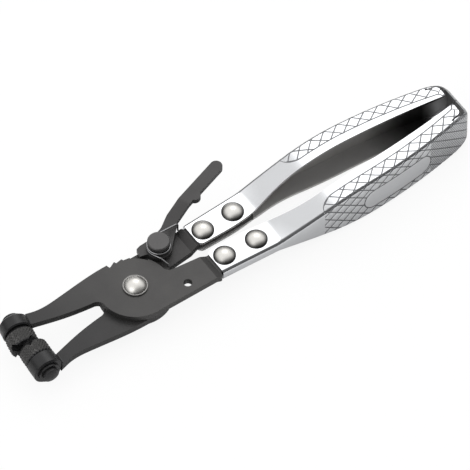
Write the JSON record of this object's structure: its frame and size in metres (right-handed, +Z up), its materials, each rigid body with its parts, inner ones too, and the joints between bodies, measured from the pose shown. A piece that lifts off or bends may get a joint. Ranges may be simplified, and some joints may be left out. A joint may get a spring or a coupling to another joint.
{
  "type": "spring clamp pliers",
  "caption": "Swivel-jaw pliers for spring band clamps: crossed steel jaw plates, folded sheet handles, turning jaw heads and a sprung ratchet lock with a thumb lever.",
  "frame": {"origin": "centre of the underside of the closed tool's box, on the surface it lies on", "axes": "+X from the jaws to the handle ends, +Y to the lock's side, +Z up, away from the surface; jaws and handles closed"},
  "size_m": [0.2172, 0.0476, 0.0213],
  "materials": {
    "jaw_plates": "black oxide on rolled steel sheet, satin",
    "jaw_sockets": "black oxide on turned steel, satin",
    "jaw_heads": "black oxide on knurled steel, satin",
    "handle_chrome": "bright chrome plate on folded sheet steel",
    "rivet_steel": "bright rolled rivet heads",
    "lock_steel": "black oxide on stamped steel, satin",
    "spring_wire": "drawn spring wire"
  },
  "bodies": {
    "back_arm": {"back_plate": "jaw_plates", "upper_handle": "handle_chrome", "upper_front_rivet": "rivet_steel", "upper_rear_rivet": "rivet_steel", "pivot_rivet": "rivet_steel", "pawl_stud": "lock_steel", "pawl_spring": "spring_wire", "lower_jaw_socket": "jaw_sockets"},
    "front_arm": {"front_plate": "jaw_plates", "lower_handle": "handle_chrome", "lower_front_rivet": "rivet_steel", "lower_rear_rivet": "rivet_steel", "upper_jaw_socket": "jaw_sockets"},
    "pawl": {"pawl_lever": "lock_steel"},
    "upper_jaw": {"upper_jaw_head": "jaw_heads", "upper_jaw_ring": "jaw_sockets"},
    "lower_jaw": {"lower_jaw_head": "jaw_heads", "lower_jaw_ring": "jaw_sockets"}
  },
  "joints": [
    {"name": "jaw_pivot", "type": "hinge", "parent": "back_arm", "child": "front_arm", "pos_m": [-0.0503, -0.00703, 0.01065], "axis": [0, 0, 1], "range_deg": [-42, 0]},
    {"name": "pawl_pivot", "type": "hinge", "parent": "back_arm", "child": "pawl", "pos_m": [-0.0315, 0.00367, 0.01065], "axis": [0, 0, 1], "range_deg": [-10, 10], "stiffness_Nm_per_rad": 0.05, "deforming": ["pawl_spring"]},
    {"name": "upper_jaw_swivel", "type": "hinge", "parent": "front_arm", "child": "upper_jaw", "pos_m": [-0.101, 0.00217, 0.01065], "axis": [0.1908, 0.9816, 0], "continuous": true},
    {"name": "lower_jaw_swivel", "type": "hinge", "parent": "back_arm", "child": "lower_jaw", "pos_m": [-0.101, -0.01378, 0.01065], "axis": [0.0698, 0.9976, 0], "continuous": true}
  ]
}
